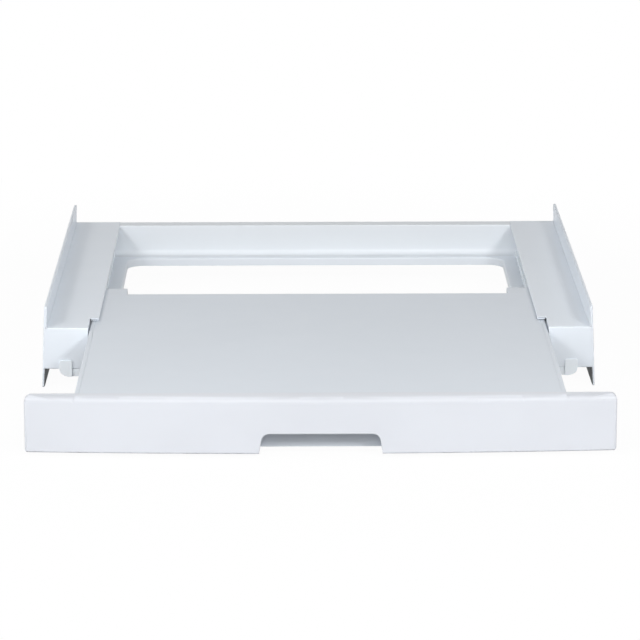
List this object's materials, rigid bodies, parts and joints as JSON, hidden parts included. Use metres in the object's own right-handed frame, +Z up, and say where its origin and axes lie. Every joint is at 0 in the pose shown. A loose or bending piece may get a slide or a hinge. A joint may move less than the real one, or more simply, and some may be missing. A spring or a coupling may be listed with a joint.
{
  "type": "washer dryer stacking kit",
  "caption": "White steel frame that stands a dryer on a washer, with skirts, ledges and an open base, and a pull-out shelf with a bowed, finger-notched front.",
  "frame": {"origin": "on the surface the skirts stand on, under the middle of the kit with its shelf pulled out", "axes": "+X to the right seen from the front, +Y to the back, +Z up"},
  "size_m": [0.6126, 0.831, 0.0917],
  "materials": {
    "white_enamel": "semi-gloss enamel",
    "moulded_white": "fine-grained moulded plastic",
    "panel_gloss": "smooth moulded plastic",
    "slick_strip": "waxy low-friction strip",
    "grey_rubber": "matte rubber",
    "zinc_steel": "bright zinc"
  },
  "bodies": {
    "frame": {"side_panel_left": "white_enamel", "side_panel_right": "white_enamel", "ledge_left": "white_enamel", "ledge_right": "white_enamel", "base_pan": "white_enamel", "rear_beam": "white_enamel", "front_foot_left": "moulded_white", "front_foot_right": "moulded_white", "guide_rail_left": "moulded_white", "guide_rail_right": "moulded_white", "tray_stop_left": "moulded_white", "tray_stop_right": "moulded_white", "front_saddle_left": "moulded_white", "front_saddle_right": "moulded_white", "rear_foot_left": "grey_rubber", "rear_foot_right": "grey_rubber", "saddle_screws": "zinc_steel"},
    "tray": {"tray_plate": "white_enamel", "tray_rib_front": "white_enamel", "tray_rib_rear": "white_enamel", "side_runner_left": "slick_strip", "side_runner_right": "slick_strip", "rear_glide_left": "moulded_white", "rear_glide_right": "moulded_white", "glide_screws": "zinc_steel", "front_panel": "panel_gloss", "panel_screws": "zinc_steel", "panel_buffers": "grey_rubber"}
  },
  "joints": [
    {"name": "tray_slide", "type": "slide", "parent": "frame", "child": "tray", "axis": [0, -1, 0], "range_m": [-0.2595, 0]}
  ]
}
